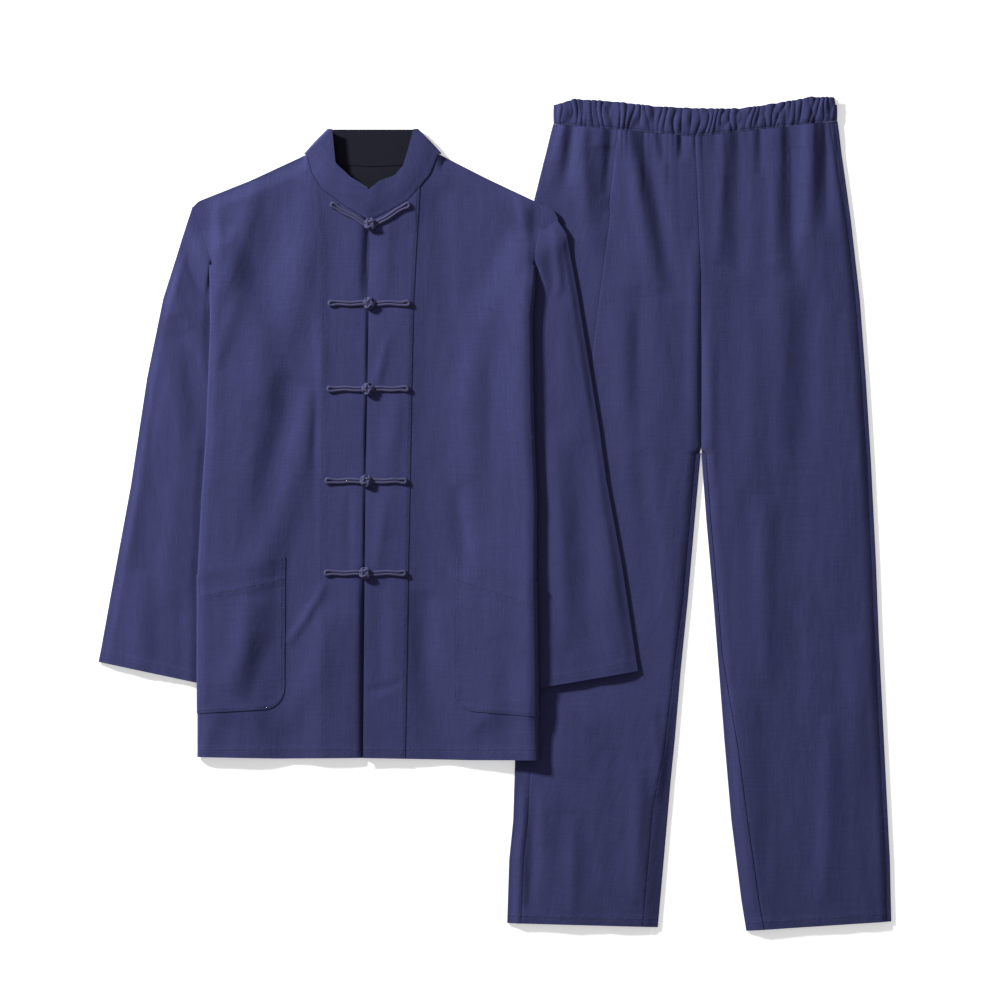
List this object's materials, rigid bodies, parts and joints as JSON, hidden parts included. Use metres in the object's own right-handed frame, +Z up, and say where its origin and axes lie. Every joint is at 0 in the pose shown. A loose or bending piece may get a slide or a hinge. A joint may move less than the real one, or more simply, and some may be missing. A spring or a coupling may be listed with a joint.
{
  "type": "tai chi uniform",
  "caption": "Cotton tai chi uniform laid flat: stand-collar jacket with frog closures and patch pockets, its sleeve lying on elastic-waist trousers.",
  "frame": {"origin": "on the floor, below the middle of the laid-out uniform's box", "axes": "+Y towards the collar and the waistband, +X from the jacket towards the trousers, +Z up from the floor"},
  "size_m": [0.9672, 1.0169, 0.0206],
  "materials": {
    "jacket_cloth": "matte navy cotton with a fine slubbed plain weave",
    "trouser_cloth": "matte navy cotton, a touch darker than the jacket",
    "frog_cord": "narrow tubes of the jacket's own cloth"
  },
  "bodies": {
    "root": {"jacket_back": "jacket_cloth", "jacket_front_right": "jacket_cloth", "jacket_front_left": "jacket_cloth", "jacket_front_band": "jacket_cloth", "collar": "jacket_cloth", "sleeve_right": "jacket_cloth", "sleeve_left": "jacket_cloth", "pocket_right": "jacket_cloth", "pocket_left": "jacket_cloth", "trouser_right_front": "trouser_cloth", "trouser_right_back": "trouser_cloth", "trouser_left_front": "trouser_cloth", "trouser_left_back": "trouser_cloth", "waistband": "trouser_cloth", "frog_1_loop": "frog_cord", "frog_1_strands": "frog_cord", "frog_1_knot": "frog_cord", "frog_2_loop": "frog_cord", "frog_2_strands": "frog_cord", "frog_2_knot": "frog_cord", "frog_3_loop": "frog_cord", "frog_3_strands": "frog_cord", "frog_3_knot": "frog_cord", "frog_4_loop": "frog_cord", "frog_4_strands": "frog_cord", "frog_4_knot": "frog_cord", "frog_5_loop": "frog_cord", "frog_5_strands": "frog_cord", "frog_5_knot": "frog_cord"}
  },
  "joints": []
}
